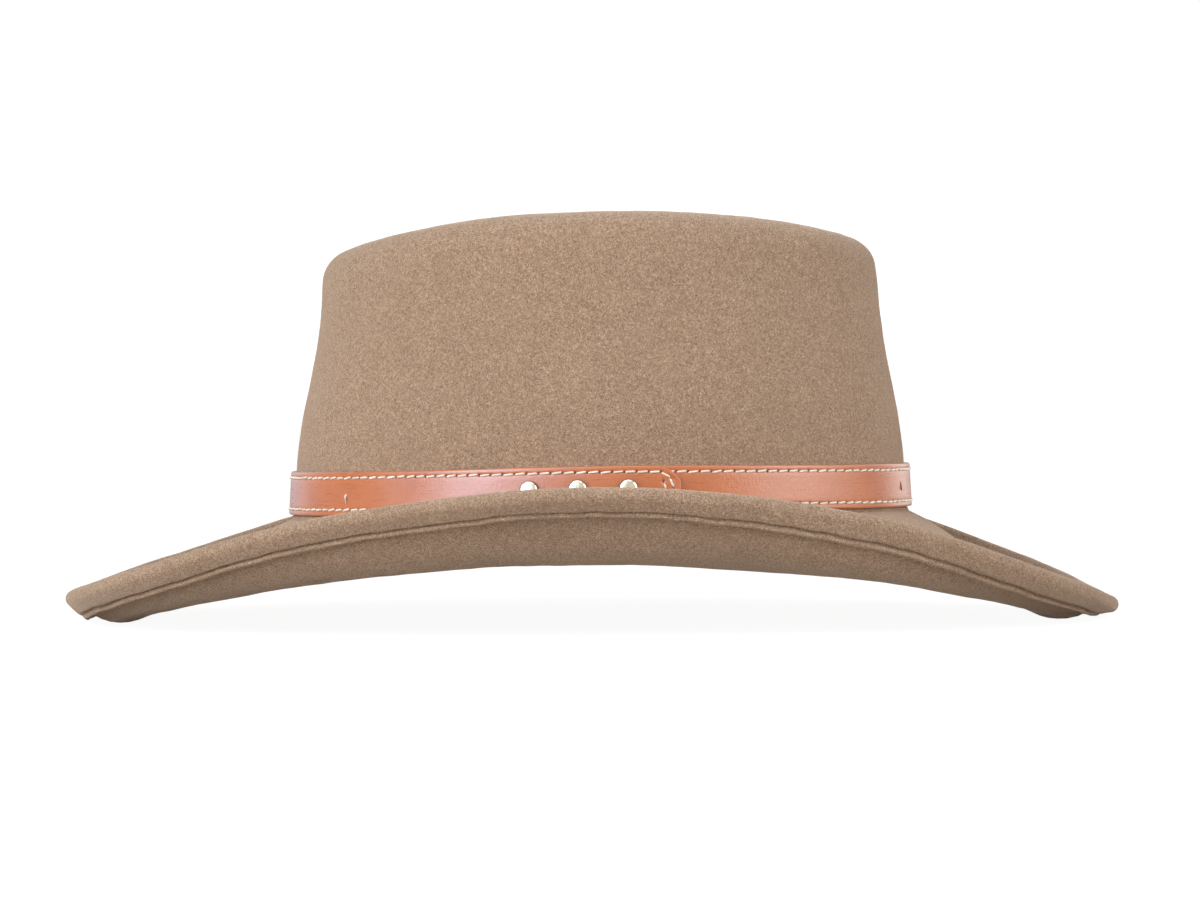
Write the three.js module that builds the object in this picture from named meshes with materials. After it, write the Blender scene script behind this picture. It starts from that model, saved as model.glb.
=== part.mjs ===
// Gambler hat in wool felt: telescope crown, curled and dipped brim with a folded edge,
// leather strap with three domed rivets on the hat's left side.
// Millimetres, +Z up, the hat's front towards -Y, its left side towards +X.
import * as THREE from "three";

// Felt and the foot of the crown, an oval seen from above.
const FELT = 2.6;
const OVAL = { length: 101, width: 84 };

// Height of the crown's ridge: highest near the middle, lower at the ends.
const RIDGE = { top: 133.1, drop: 8.4, reach: 82, forward: 0.09, curve: 2.3 };
const SHOULDER = { radius: 11, lean: 5 };

// Crown wall from the break (part 0) to the shoulder (part 1): how far it leans in.
const WALL = [
  { part: 0, inset: -0.1 },
  { part: 0.2, inset: 0.1 },
  { part: 0.4, inset: 2.1 },
  { part: 0.6, inset: 5.2 },
  { part: 0.8, inset: 7.7 },
  { part: 1, inset: 9.1 },
];

// Crown top inside the ridge: depth below the ridge, ring 1 on the ridge and ring 0 in the middle.
const TOP = [
  { ring: 0, below: 6.5 },
  { ring: 0.25, below: 7 },
  { ring: 0.5, below: 8.4 },
  { ring: 0.68, below: 10.2 },
  { ring: 0.78, below: 10.8 },
  { ring: 0.85, below: 8.6 },
  { ring: 0.92, below: 3.6 },
  { ring: 1, below: 0 },
];

// Brim sections from the front (0 degrees) round either side to the back (180 degrees).
// foot: height where the crown wall ends, width: felt from there to the edge,
// slopes: degrees up from level at each station, 0 at the break and 1 at the edge.
const BREAK_RADIUS = 3.3;
// Height up to which the felt is pressed flat where the hat rests.
const RESTING = 0.3;
const BRIM_STATIONS = [0, 0.2, 0.4, 0.6, 0.74, 0.87, 1];
const BRIM = [
  { at: 0, foot: 36.6, width: 80.5, slopes: [-23, -34, -36, -27, -19, 23, 48] },
  { at: 30, foot: 37.2, width: 80, slopes: [-19, -29, -30, -19, 0, 27, 39] },
  { at: 60, foot: 38.2, width: 76, slopes: [-24, -22, -18, -1, 28, 47, 47] },
  { at: 90, foot: 39.2, width: 76, slopes: [-31, -24, -7, 17, 46, 41, 43] },
  { at: 120, foot: 39.2, width: 75.5, slopes: [-37, -31, -14, 2, 13, 54, 67] },
  { at: 150, foot: 39, width: 75, slopes: [-25, -29, -39, -23, -7, 21, 42] },
  { at: 180, foot: 38.5, width: 78, slopes: [-24, -37, -43, -38, -14, 28, 2] },
];

// The right side curls up a little more towards the back: degrees added to its slopes.
const RIGHT_CURL = { at: 222, spread: 28, more: 1.9 };

// Edge folded under: felt thickness at distances back from the fold, with the stitched groove.
const UNDERWELT = [
  { back: 0, thick: 2 * FELT },
  { back: 4.2, thick: 2 * FELT },
  { back: 5.1, thick: 2 * FELT - 0.6 },
  { back: 6, thick: 2 * FELT - 0.1 },
  { back: 7, thick: 2 * FELT - 0.1 },
  { back: 7.2, thick: FELT },
];

// Strap round the crown: height of its lower edge by section.
const STRAP = { width: 14.2, thick: 1.8, gap: 0.3, bevel: 0.5 };
const STRAP_FOOT = [
  { at: 0, height: 35.1 },
  { at: 30, height: 35.4 },
  { at: 60, height: 36.4 },
  { at: 90, height: 37.4 },
  { at: 120, height: 37.4 },
  { at: 150, height: 37.2 },
  { at: 180, height: 37.2 },
];
// Its two ends lie on the left side, in degrees round the oval; the outer end covers the inner one.
const STRAP_ENDS = { inner: 73, rise: 62, outer: 104.1 };
// Outer end: half width at distances from the tip, both corners clipped.
const TIP = [
  { from: 0, half: 2 },
  { from: 0.9, half: 3.5 },
  { from: 3.2, half: 5.6 },
  { from: 6.6, half: STRAP.width / 2 },
];

// Domed rivets along the overlap, placed by distance along the hat's side.
const RIVET = { gap: 0.3 };
const RIVET_PROFILE = [
  { radius: 0, height: 0 },
  { radius: 2.95, height: 0 },
  { radius: 3.15, height: 0.15 },
  { radius: 3.15, height: 0.35 },
  { radius: 2.95, height: 0.5 },
  { radius: 2.65, height: 0.55 },
  { radius: 2.38, height: 1.12 },
  { radius: 1.8, height: 1.62 },
  { radius: 0.95, height: 1.92 },
  { radius: 0, height: 2 },
];
const RIVETS = [
  { name: "rivet_front", along: -21.9 },
  { name: "rivet_middle", along: -6.9 },
  { name: "rivet_back", along: 8.8 },
];

// How finely the surfaces are divided.
const SECTIONS = 72;
const SHOULDER_STEPS = 5;
const WALL_PARTS = [0.85, 0.67, 0.5, 0.33, 0.16, 0];
const BREAK_STEPS = 3;
const BRIM_PARTS = [0.12, 0.25, 0.38, 0.5, 0.6, 0.67, 0.73, 0.785, 0.83, 0.885, 0.94, 1];
const FOLD_STEPS = 4;
const LENGTH_STEPS = 60;
const STRAP_STEP = 4;
const STRAP_END_STEP = 1.6;
const TIP_STEPS = [6.6, 4.9, 3.2, 2, 0.9, 0];
const INNER_WALL_PARTS = [0, 0.25, 0.5, 0.75, 1];
const INNER_SHOULDER_PARTS = [0.7, 0.4, 0];
const INNER_RINGS = [0.92, 0.85, 0.73, 0.45, 0];
const RIVET_SIDES = 18;

const rad = THREE.MathUtils.degToRad;

// Smooth curve through the rows of a table, as Hermite pieces.
function through(at, values, x) {
  const last = at.length - 1;
  let i = 0;
  while (i < last - 1 && x > at[i + 1]) i += 1;
  const slope = (k) => {
    const a = Math.max(k - 1, 0);
    const b = Math.min(k + 1, last);
    return (values[b] - values[a]) / (at[b] - at[a]);
  };
  const w = at[i + 1] - at[i];
  const f = (x - at[i]) / w;
  const f2 = f * f;
  const f3 = f2 * f;
  return (
    values[i] * (2 * f3 - 3 * f2 + 1) +
    slope(i) * w * (f3 - 2 * f2 + f) +
    values[i + 1] * (3 * f2 - 2 * f3) +
    slope(i + 1) * w * (f3 - f2)
  );
}

// Straight-line reading of a table whose rows go up in the key.
function linear(rows, key, column, x) {
  const next = rows.findIndex((r) => r[key] >= x);
  if (next < 0) return rows.at(-1)[column];
  if (next === 0) return rows[0][column];
  const [a, b] = [rows[next - 1], rows[next]];
  return THREE.MathUtils.mapLinear(x, a[key], b[key], a[column], b[column]);
}

// Value of a table of sections at an angle, the same on both sides of the hat.
function around(rows, pick, degrees) {
  const turn = ((degrees % 360) + 360) % 360;
  const t = turn > 180 ? 360 - turn : turn;
  const n = rows.length;
  const mirrored = [
    { at: -rows[1].at, value: pick(rows[1]) },
    ...rows.map((r) => ({ at: r.at, value: pick(r) })),
    { at: 360 - rows[n - 2].at, value: pick(rows[n - 2]) },
  ];
  return through(
    mirrored.map((r) => r.at),
    mirrored.map((r) => r.value),
    t,
  );
}

// Foot oval at an angle: the point on it and the level direction out of it.
function foot(degrees) {
  const a = rad(degrees);
  const out = new THREE.Vector2(Math.sin(a) / OVAL.width, -Math.cos(a) / OVAL.length);
  return {
    point: new THREE.Vector2(OVAL.width * Math.sin(a), -OVAL.length * Math.cos(a)),
    out: out.normalize(),
  };
}

function rightCurl(degrees) {
  const turn = ((degrees % 360) + 360) % 360;
  return RIGHT_CURL.more * Math.exp(-(((turn - RIGHT_CURL.at) / RIGHT_CURL.spread) ** 2));
}

function ridgeHeight(y) {
  return RIDGE.top - RIDGE.drop * Math.abs(y / RIDGE.reach - RIDGE.forward) ** RIDGE.curve;
}

function wallInset(part) {
  return through(
    WALL.map((r) => r.part),
    WALL.map((r) => r.inset),
    part,
  );
}

// Everything of one section: functions that give a place on the felt's outer face
// and the angle of the face there, from level, going outwards.
function section(degrees) {
  const { point, out } = foot(degrees);
  const row = {
    foot: around(BRIM, (r) => r.foot, degrees),
    width: around(BRIM, (r) => r.width, degrees),
  };
  const lean = rad(SHOULDER.lean);
  const crestOffset = -wallInset(1) - SHOULDER.radius * Math.cos(lean);
  const crest = point.clone().addScaledVector(out, crestOffset);
  const crestHeight = ridgeHeight(crest.y);
  const wallTop = crestHeight - SHOULDER.radius * (1 - Math.sin(lean));

  const place = (offset, z, slope) => {
    const p = point.clone().addScaledVector(out, offset);
    return {
      at: new THREE.Vector3(p.x, p.y, z),
      normal: new THREE.Vector3(
        -out.x * Math.sin(slope),
        -out.y * Math.sin(slope),
        Math.cos(slope),
      ),
    };
  };

  // Crown top, from the middle (0) to the ridge (1).
  const top = (ring) => {
    const height = (r) =>
      ridgeHeight(crest.y * r) -
      through(
        TOP.map((q) => q.ring),
        TOP.map((q) => q.below),
        r,
      );
    const step = 0.01;
    const r = crest.length();
    const inner = Math.max(ring - step, 0);
    const outer = Math.min(ring + step, 1);
    const slope =
      ring === 0 || ring === 1
        ? 0
        : Math.atan2(height(outer) - height(inner), r * (outer - inner));
    const dir = crest.clone().normalize();
    return {
      at: new THREE.Vector3(crest.x * ring, crest.y * ring, height(ring)),
      normal: new THREE.Vector3(
        -dir.x * Math.sin(slope),
        -dir.y * Math.sin(slope),
        Math.cos(slope),
      ),
    };
  };

  // Shoulder, from the ridge (0) to the top of the wall (1).
  const shoulder = (part) => {
    const a = part * (Math.PI / 2 - lean);
    return place(
      crestOffset + SHOULDER.radius * Math.sin(a),
      crestHeight - SHOULDER.radius * (1 - Math.cos(a)),
      -a,
    );
  };

  // Wall, from the break (0) to the shoulder (1).
  const wall = (part) => {
    const step = 0.01;
    const low = Math.max(part - step, 0);
    const high = Math.min(part + step, 1);
    const rise = (wallTop - row.foot) * (high - low);
    const slope = Math.atan2(-rise, wallInset(high) - wallInset(low));
    return place(-wallInset(part), THREE.MathUtils.lerp(row.foot, wallTop, part), slope);
  };

  // Break between wall and brim, from the wall (0) to the brim (1).
  const more = rightCurl(degrees);
  const slopes = BRIM[0].slopes.map((_, k) => around(BRIM, (r) => r.slopes[k], degrees) + more);
  const slopeAt = (part) => rad(through(BRIM_STATIONS, slopes, part));
  const start = -wallInset(0);
  const bend = (part) => {
    const a = THREE.MathUtils.lerp(-Math.PI / 2, slopeAt(0), part);
    return place(
      start + BREAK_RADIUS * (1 + Math.sin(a)),
      row.foot - BREAK_RADIUS * Math.cos(a),
      a,
    );
  };

  // Brim, from the break (0) to the edge (1), added up from its slopes.
  const first = slopeAt(0);
  const path = [
    [start + BREAK_RADIUS * (1 + Math.sin(first)), row.foot - BREAK_RADIUS * Math.cos(first)],
  ];
  const stride = row.width / LENGTH_STEPS;
  for (let i = 0; i < LENGTH_STEPS; i += 1) {
    const a = slopeAt((i + 0.5) / LENGTH_STEPS);
    const [s, z] = path[i];
    path.push([s + stride * Math.cos(a), z + stride * Math.sin(a)]);
  }
  const brim = (part) => {
    const x = part * LENGTH_STEPS;
    const i = Math.min(Math.floor(x), LENGTH_STEPS - 1);
    const f = x - i;
    return place(
      THREE.MathUtils.lerp(path[i][0], path[i + 1][0], f),
      THREE.MathUtils.lerp(path[i][1], path[i + 1][1], f),
      slopeAt(part),
    );
  };

  return { top, shoulder, wall, bend, brim, width: row.width, foot: row.foot, wallTop };
}

// The felt's other face, a thickness below the outer one.
function below(place, thick) {
  return place.at.clone().addScaledVector(place.normal, -thick);
}

// One closed line from the middle of the crown top, down over the brim's edge, and back up inside.
function feltProfile(degrees) {
  const s = section(degrees);
  const even = (n) => Array.from({ length: n }, (_, i) => (i + 1) / n);
  const rings = TOP.map((r) => r.ring);
  const outside = [
    ...rings.map(s.top),
    ...even(SHOULDER_STEPS).map(s.shoulder),
    ...WALL_PARTS.map(s.wall),
    ...even(BREAK_STEPS).map(s.bend),
    ...BRIM_PARTS.map(s.brim),
  ];

  const edge = s.brim(1);
  const level = new THREE.Vector3(edge.at.x, edge.at.y, 0).normalize();
  const side = new THREE.Vector3().crossVectors(level, new THREE.Vector3(0, 0, 1));
  const ahead = new THREE.Vector3().crossVectors(edge.normal, side).normalize();
  if (ahead.dot(level) < 0) ahead.negate();
  const centre = below(edge, FELT);
  const fold = even(FOLD_STEPS).map((f) =>
    centre
      .clone()
      .addScaledVector(edge.normal, FELT * Math.cos(f * Math.PI))
      .addScaledVector(ahead, FELT * Math.sin(f * Math.PI)),
  );

  const partAt = (back) => 1 - back / s.width;
  const welt = UNDERWELT.slice(1).map((r) => below(s.brim(partAt(r.back)), r.thick));
  const last = partAt(UNDERWELT.at(-1).back);
  const single = [...BRIM_PARTS, 0]
    .sort((a, b) => b - a)
    .filter((part) => part < last - 0.01)
    .map((part) => below(s.brim(part), FELT));

  const inside = [
    s.bend(0.5),
    ...INNER_WALL_PARTS.map(s.wall),
    ...INNER_SHOULDER_PARTS.map(s.shoulder),
    ...INNER_RINGS.map(s.top),
  ].map((p) => below(p, FELT));

  return [...outside.map((p) => p.at), ...fold, ...welt, ...single, ...inside];
}

// Closed surface from lines that all run from one pole to the other.
function shell(lines) {
  const n = lines.length;
  const rings = lines[0].length - 2;
  const positions = [lines[0][0], lines[0].at(-1)].flatMap((p) => p.toArray());
  lines.forEach((line) => line.slice(1, -1).forEach((p) => positions.push(...p.toArray())));
  const index = [];
  const vertex = (i, k) => 2 + (i % n) * rings + k;
  for (let i = 0; i < n; i += 1) {
    index.push(0, vertex(i, 0), vertex(i + 1, 0));
    for (let k = 0; k < rings - 1; k += 1) {
      const [a, b, c, d] = [vertex(i, k), vertex(i + 1, k), vertex(i + 1, k + 1), vertex(i, k + 1)];
      index.push(a, d, b, b, d, c);
    }
    index.push(vertex(i, rings - 1), 1, vertex(i + 1, rings - 1));
  }
  return solid(positions, index);
}

function solid(positions, index) {
  const geometry = new THREE.BufferGeometry();
  geometry.setAttribute("position", new THREE.Float32BufferAttribute(positions, 3));
  geometry.setIndex(index);
  geometry.computeVertexNormals();
  return geometry;
}

function feltBody() {
  const lines = Array.from({ length: SECTIONS }, (_, i) => feltProfile((360 * i) / SECTIONS));
  // The brim's lowest places lie flat on what the hat rests on.
  lines.forEach((line) => line.forEach((p) => p.setZ(Math.max(p.z, RESTING))));
  return shell(lines);
}

// How far the felt stands out from the foot oval at a height near the foot of the wall.
function standOut(s, z) {
  const part = THREE.MathUtils.clamp((z - s.foot) / (s.wallTop - s.foot), 0, 1);
  const drop = THREE.MathUtils.clamp(s.foot - z, 0, BREAK_RADIUS);
  return BREAK_RADIUS - Math.sqrt(BREAK_RADIUS ** 2 - drop ** 2) - wallInset(part);
}

// The strap's straight cross-section at an angle: its lower and upper edge touch the felt.
function strapLine(degrees) {
  const s = section(degrees);
  const low = around(STRAP_FOOT, (r) => r.height, degrees);
  const { point, out } = foot(degrees);
  const [a, b] = [standOut(s, low), standOut(s, low + STRAP.width)];
  return {
    lean: Math.atan2(a - b, STRAP.width),
    // Place at a height above the strap's middle, pushed out from the felt.
    place: (dz, push) => {
      const offset = THREE.MathUtils.lerp(a, b, dz / STRAP.width + 0.5) + push;
      const z = low + STRAP.width / 2 + dz;
      return new THREE.Vector3(point.x + out.x * offset, point.y + out.y * offset, z);
    },
  };
}

// Extra lift of the strap where its outer end rides over the inner one.
function strapLift(degrees) {
  const begin = 360 + STRAP_ENDS.rise;
  const end = 360 + STRAP_ENDS.inner - 2;
  const f = THREE.MathUtils.smoothstep(degrees, begin, end);
  return f * (STRAP.thick + STRAP.gap);
}

function strapStations() {
  const first = STRAP_ENDS.inner;
  const tip = 360 + STRAP_ENDS.outer;
  const arc = rad(1) * OVAL.length;
  const list = [];
  for (let t = first; t < 360 + STRAP_ENDS.rise; t += STRAP_STEP) list.push(t);
  const clip = tip - TIP_STEPS[0] / arc;
  for (let t = 360 + STRAP_ENDS.rise; t < clip; t += STRAP_END_STEP) list.push(t);
  TIP_STEPS.forEach((d) => list.push(tip - d / arc));
  return list.map((t) => ({ t, half: linear(TIP, "from", "half", (tip - t) * arc) }));
}

function strap() {
  const loops = strapStations().map(({ t, half }) => {
    const line = strapLine(t);
    const near = STRAP.gap + strapLift(t);
    const far = near + STRAP.thick;
    const b = STRAP.bevel;
    return [
      [-half, near],
      [-half, far - b],
      [-half + b, far],
      [half - b, far],
      [half, far - b],
      [half, near],
    ].map(([dz, push]) => line.place(dz, push));
  });
  const m = loops[0].length;
  const positions = loops.flat().flatMap((p) => p.toArray());
  const index = [];
  for (let i = 0; i < loops.length - 1; i += 1) {
    for (let k = 0; k < m; k += 1) {
      const a = i * m + k;
      const b = i * m + ((k + 1) % m);
      index.push(a, a + m, b, b, a + m, b + m);
    }
  }
  for (let k = 1; k < m - 1; k += 1) {
    index.push(0, k, k + 1);
    const e = (loops.length - 1) * m;
    index.push(e, e + k + 1, e + k);
  }
  return solid(positions, index);
}

// A rivet turned about its own axis, then set square on the strap.
function rivet(along) {
  const profile = RIVET_PROFILE.map((r) => new THREE.Vector2(r.radius, r.height));
  const geometry = new THREE.LatheGeometry(profile, RIVET_SIDES);
  const t = THREE.MathUtils.radToDeg(Math.acos(-along / OVAL.length));
  const stack = 2 * (STRAP.gap + STRAP.thick) + RIVET.gap;
  const { lean, place } = strapLine(t);
  const seat = place(0, stack);
  const { out } = foot(t);
  const axis = new THREE.Vector3(out.x, out.y, Math.tan(lean)).normalize();
  geometry.applyQuaternion(
    new THREE.Quaternion().setFromUnitVectors(new THREE.Vector3(0, 1, 0), axis),
  );
  geometry.translate(seat.x, seat.y, seat.z);
  return geometry;
}

function named(name, geometry, color, roughness, metalness) {
  const material = new THREE.MeshStandardMaterial({ color, roughness, metalness });
  const mesh = new THREE.Mesh(geometry, material);
  mesh.name = name;
  return mesh;
}

const hat = new THREE.Group();
hat.name = "gambler_hat";
hat.add(named("felt_body", feltBody(), 0xa58e78, 0.95, 0));
hat.add(named("hat_band", strap(), 0xc87a52, 0.45, 0));
RIVETS.forEach((r) => hat.add(named(r.name, rivet(r.along), 0xd7cdaf, 0.25, 1)));

// The hat stands on the middle of its own outline.
const box = new THREE.Box3().setFromObject(hat);
const middle = box.getCenter(new THREE.Vector3());
hat.children.forEach((mesh) => mesh.geometry.translate(-middle.x, -middle.y, -box.min.z));

export default hat;
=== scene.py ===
# Gambler hat in wool felt with a riveted leather strap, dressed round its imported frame.
# Shape sizes are in millimetres, with the names that the part's source uses; meshes are in metres.
import bpy
import math
import numpy as np
from mathutils import Matrix, Vector


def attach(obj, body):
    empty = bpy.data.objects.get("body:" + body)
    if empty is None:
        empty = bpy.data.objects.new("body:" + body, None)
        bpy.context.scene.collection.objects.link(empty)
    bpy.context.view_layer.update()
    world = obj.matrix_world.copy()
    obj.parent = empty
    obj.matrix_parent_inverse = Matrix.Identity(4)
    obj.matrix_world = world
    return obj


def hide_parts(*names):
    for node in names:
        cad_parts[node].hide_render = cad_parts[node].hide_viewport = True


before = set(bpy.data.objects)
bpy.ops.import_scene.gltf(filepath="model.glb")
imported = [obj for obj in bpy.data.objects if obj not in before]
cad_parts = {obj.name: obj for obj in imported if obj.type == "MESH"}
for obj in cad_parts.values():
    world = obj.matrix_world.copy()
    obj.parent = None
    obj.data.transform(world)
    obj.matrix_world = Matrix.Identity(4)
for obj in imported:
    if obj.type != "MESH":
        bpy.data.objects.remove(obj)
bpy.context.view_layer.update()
BODY = "root"
MM = 0.001
SEED = 7
WHITE = (1, 1, 1)

# Felt and the foot of the crown, an oval seen from above.
FELT = 2.6
OVAL = {"length": 101, "width": 84}

# Crown: height of the ridge, shoulder, lean of the wall, and depth of the top inside the ridge.
RIDGE = {"top": 133.1, "drop": 8.4, "reach": 82, "forward": 0.09, "curve": 2.3}
SHOULDER = {"radius": 11, "lean": 5}
WALL = {"part": [0, 0.2, 0.4, 0.6, 0.8, 1], "inset": [-0.1, 0.1, 2.1, 5.2, 7.7, 9.1]}
TOP = {
    "ring": [0, 0.25, 0.5, 0.68, 0.78, 0.85, 0.92, 1],
    "below": [6.5, 7, 8.4, 10.2, 10.8, 8.6, 3.6, 0],
}

# Brim sections from the front (0 degrees) round either side to the back (180 degrees).
# slopes: degrees up from level at each station, 0 at the break and 1 at the edge.
BREAK_RADIUS = 3.3
BRIM_STATIONS = [0, 0.2, 0.4, 0.6, 0.74, 0.87, 1]
BRIM = [
    {"at": 0, "foot": 36.6, "width": 80.5, "slopes": [-23, -34, -36, -27, -19, 23, 48]},
    {"at": 30, "foot": 37.2, "width": 80, "slopes": [-19, -29, -30, -19, 0, 27, 39]},
    {"at": 60, "foot": 38.2, "width": 76, "slopes": [-24, -22, -18, -1, 29.5, 49.5, 49.5]},
    {"at": 90, "foot": 39.2, "width": 76, "slopes": [-31, -24, -7, 17, 48, 44, 46]},
    {"at": 120, "foot": 39.2, "width": 75.5, "slopes": [-37, -31, -14, 2, 14.5, 56, 69]},
    {"at": 150, "foot": 39, "width": 75, "slopes": [-25, -29, -39, -23, -7, 21, 42]},
    {"at": 180, "foot": 38.5, "width": 78, "slopes": [-24, -37, -43, -38, -14, 28, 2]},
]
# The right side curls up a little more towards the back: degrees added to its slopes.
RIGHT_CURL = {"at": 222, "spread": 28, "more": 1.9}
# Height up to which the felt is pressed flat where the hat rests.
RESTING = 0.3
# The felt swells out just below the strap, between these parts of the bend.
SWELL = {"size": 0.8, "from": 0.2, "full": 0.5, "to": 1}
# Faint unevenness of the whole face, in broad and in small waves.
RELIEF = [
    {"count": 14, "shortest": 22, "longest": 60, "size": 0.14},
    {"count": 30, "shortest": 6, "longest": 14, "size": 0.06},
]

# Edge folded under: felt thickness at distances back from the fold, the cut of the stitched
# groove into it, and how far the row strays back and forth along the edge (wander).
UNDERWELT = [
    {"back": 1.2, "thick": 5.2, "cut": 0, "wander": 0},
    {"back": 2.4, "thick": 5.2, "cut": 0, "wander": 0},
    {"back": 3.3, "thick": 5.2, "cut": 0, "wander": 0.2},
    {"back": 3.9, "thick": 5.2, "cut": 0.05, "wander": 0.6},
    {"back": 4.3, "thick": 5.2, "cut": 0.2, "wander": 1},
    {"back": 4.6, "thick": 5.2, "cut": 0.6, "wander": 1},
    {"back": 4.85, "thick": 5.2, "cut": 1.2, "wander": 1},
    {"back": 5.05, "thick": 5.2, "cut": 1.6, "wander": 1},
    {"back": 5.3, "thick": 5.2, "cut": 1.2, "wander": 1},
    {"back": 5.55, "thick": 5.2, "cut": 0.5, "wander": 1},
    {"back": 5.85, "thick": 5.2, "cut": 0.1, "wander": 0.8},
    {"back": 6.2, "thick": 5.2, "cut": -0.05, "wander": 0.6},
    {"back": 6.65, "thick": 5.1, "cut": 0, "wander": 0.8},
    {"back": 6.95, "thick": 4.85, "cut": 0, "wander": 1},
    {"back": 7.1, "thick": 4.3, "cut": 0, "wander": 1},
    {"back": 7.16, "thick": 3.6, "cut": 0, "wander": 1},
    {"back": 7.22, "thick": 2.9, "cut": 0, "wander": 1},
    {"back": 7.5, "thick": 2.5, "cut": 0, "wander": 1},
    {"back": 8.2, "thick": 2.55, "cut": 0, "wander": 0},
]
# Part of the brim between the folded layer's last row and the first row of single felt.
SINGLE_FELT_GAP = 0.02
# The groove is pressed out at the front and back: part of its depth by distance from there.
GROOVE_FADE = {"begin": 0.06, "end": 0.4, "least": 0.25}
# How far the rows stray, and how many times each wave of that goes up and down round the edge.
GROOVE_WANDER = 0.22
GROOVE_WAVES = (23, 41, 67, 97)

# Strap round the crown: its section, and the height of its lower edge round the hat.
STRAP = {"width": 14.2, "thick": 1.8, "gap": 0.3}
STRAP_FOOT = [
    {"at": 0, "height": 35.4},
    {"at": 30, "height": 35.7},
    {"at": 60, "height": 36.7},
    {"at": 90, "height": 37.9},
    {"at": 120, "height": 37.8},
    {"at": 150, "height": 37.4},
    {"at": 180, "height": 37.3},
]
# Its ends in degrees: the outer one starts to ride over the inner one at rise, and is up at risen.
STRAP_ENDS = {"inner": 73, "rise": 50, "risen": 71, "outer": 104.1}
# The clipped tip: half the strap's width at distances from its end.
TIP = {"from": [0, 0.9, 3.2, 6.6], "half": [2, 3.5, 5.6, 7.1]}
EDGE_ROUND = 0.55
# The strap's lower edge stands out this much more than its upper edge.
FLARE = 0.5

# Stitch rows: distance in from the strap's edge, spacing, and how each stitch lies.
STITCH = {"inset": 1.95, "pitch": 3.83, "length": 3.25, "radius": 0.35, "rise": 0.34, "slant": 0.42}
# A stitch's ends are sunk and thinner; the rows stop short of the strap's inner end.
STITCH_ENDS = {"sunk": 0.12, "thin": 0.12, "short": 4}
# How far the stitches differ from each other.
STITCH_SPREAD = {"slant": 0.25, "across": 0.05, "radius": 0.05}
EMBOSS = {"depth": 0.16, "half": 0.42}
# A hole's dent reaches out to this many times its half width.
HOLE = {"depth": 0.6, "half": 0.3, "reach": 4}
# The row turns round the clipped tip: distances from the tip and from the strap's middle line.
TIP_ROW = [(6.4, 5.1), (3.4, 3.2), (2.6, 0), (3.4, -3.2), (6.4, -5.1)]

# Holes where the maker tacked the strap down, by distance along the hat's side and height
# above the strap's middle line, with the bit of thread left in each.
TACKS = [
    {
        "along": -80, "above": -2, "half": 0.42, "thread": "cream",
        "ends": [(0.2, 2), (-0.25, 1.2), (-0.1, 0)],
    },
    {
        "along": 19.2, "above": 2, "half": 0.38, "thread": "cream",
        "ends": [(0.2, -0.7), (0.4, -1.4), (0.5, -2.1)],
    },
    {
        "along": 96.2, "above": -1.4, "half": 0.26, "thread": "brown",
        "ends": [(0.7, 0), (-0.05, 0.3), (-0.1, 3.1)],
    },
]
TACK_THREAD = {"radius": {"cream": 0.34, "brown": 0.2}, "rise": 0.3, "sunk": 0.12, "blunt": 1.02}

# Nap: loose wool fibres that stand off the felt, each a thin closed spike. None comes closer
# to the resting height than floor, and each rises from the felt by an angle in degrees.
NAP = {"shortest": 0.5, "longest": 1.5, "radius": 0.045, "sunk": 0.05, "floor": 0.08}
NAP_COUNT = {"crown": 47000, "brim": 47000, "edge": 22000}
NAP_RISE = {"least": 8, "most": 50}
# The edge gets more nap, from rings above the fold to rings past it.
NAP_EDGE = {"before": 3, "after": 2}

# Rivets: gap over the strap, dome from its back to its top, and places along the hat's side.
RIVET_GAP = 0.3
RIVET_PROFILE = {
    "radius": [0, 2.85, 2.95, 3.02, 3.04, 3, 2.92, 2.79, 2.62, 2.4, 2.1, 1.7, 1.2, 0.6, 0],
    "height": [0, 0, 0.08, 0.25, 0.55, 0.88, 1.15, 1.38, 1.55, 1.68, 1.79, 1.88, 1.95, 1.99, 2],
}
# Heights over which the painted shade and painted dark reflection at a rivet's foot fade away.
FOOT_SHADE = {"from": 1.2, "to": 1.5}
RIVETS = {"rivet_front": -21.6, "rivet_middle": -6.9, "rivet_back": 8.4}
RIVET_SIDES = 64

# How finely the surfaces are divided; the top's rings crowd towards the ridge by a power.
SECTIONS = 400
TOP_RINGS = 26
TOP_CROWDING = 1.25
SHOULDER_STEPS = 12
WALL_STEPS = 44
BREAK_STEPS = 10
BRIM_STEPS = 42
FOLD_STEPS = 12
UNDER_STEPS = 26
INNER_WALL_STEPS = 18
INNER_SHOULDER_STEPS = 5
INNER_RINGS = 12
LENGTH_STEPS = 60
STRAP_LINE_STEPS = 6000
THREAD_SIDES = 8
STITCH_POINTS = 11
TACK_POINTS = 9

# Columns across half the strap's face, by distance in from its edge.
STRAP_COLUMNS = {
    "edge": [0, 0.04, 0.12, 0.24, 0.4, 0.58, 0.85, 1.15],
    "stitch_row": [1.45, 1.65, 1.8, 1.95, 2.1, 2.25, 2.45, 2.8],
    "tacks": [3.8, 4.7, 4.95, 5.2, 5.45, 6.2, 6.8],
}
STRAP_BACK_COLUMNS = (1, 0.5, 0, -0.5, -1)
# Stations along the strap: round each stitch hole and tack, and at both ends.
STITCH_STATIONS = [-0.42, -0.25, -0.12, 0, 0.12, 0.25, 0.42, 1.1, 2, 2.9]
TACK_STATIONS = {"half": 0.9, "count": 15}
INNER_STATIONS = {"length": 1, "count": 5}
TIP_STATIONS = {"fine": 0.1, "fine_to": 0.7, "step": 0.2, "to": 6.6}
CLOSEST_STATIONS = 0.06

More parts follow.
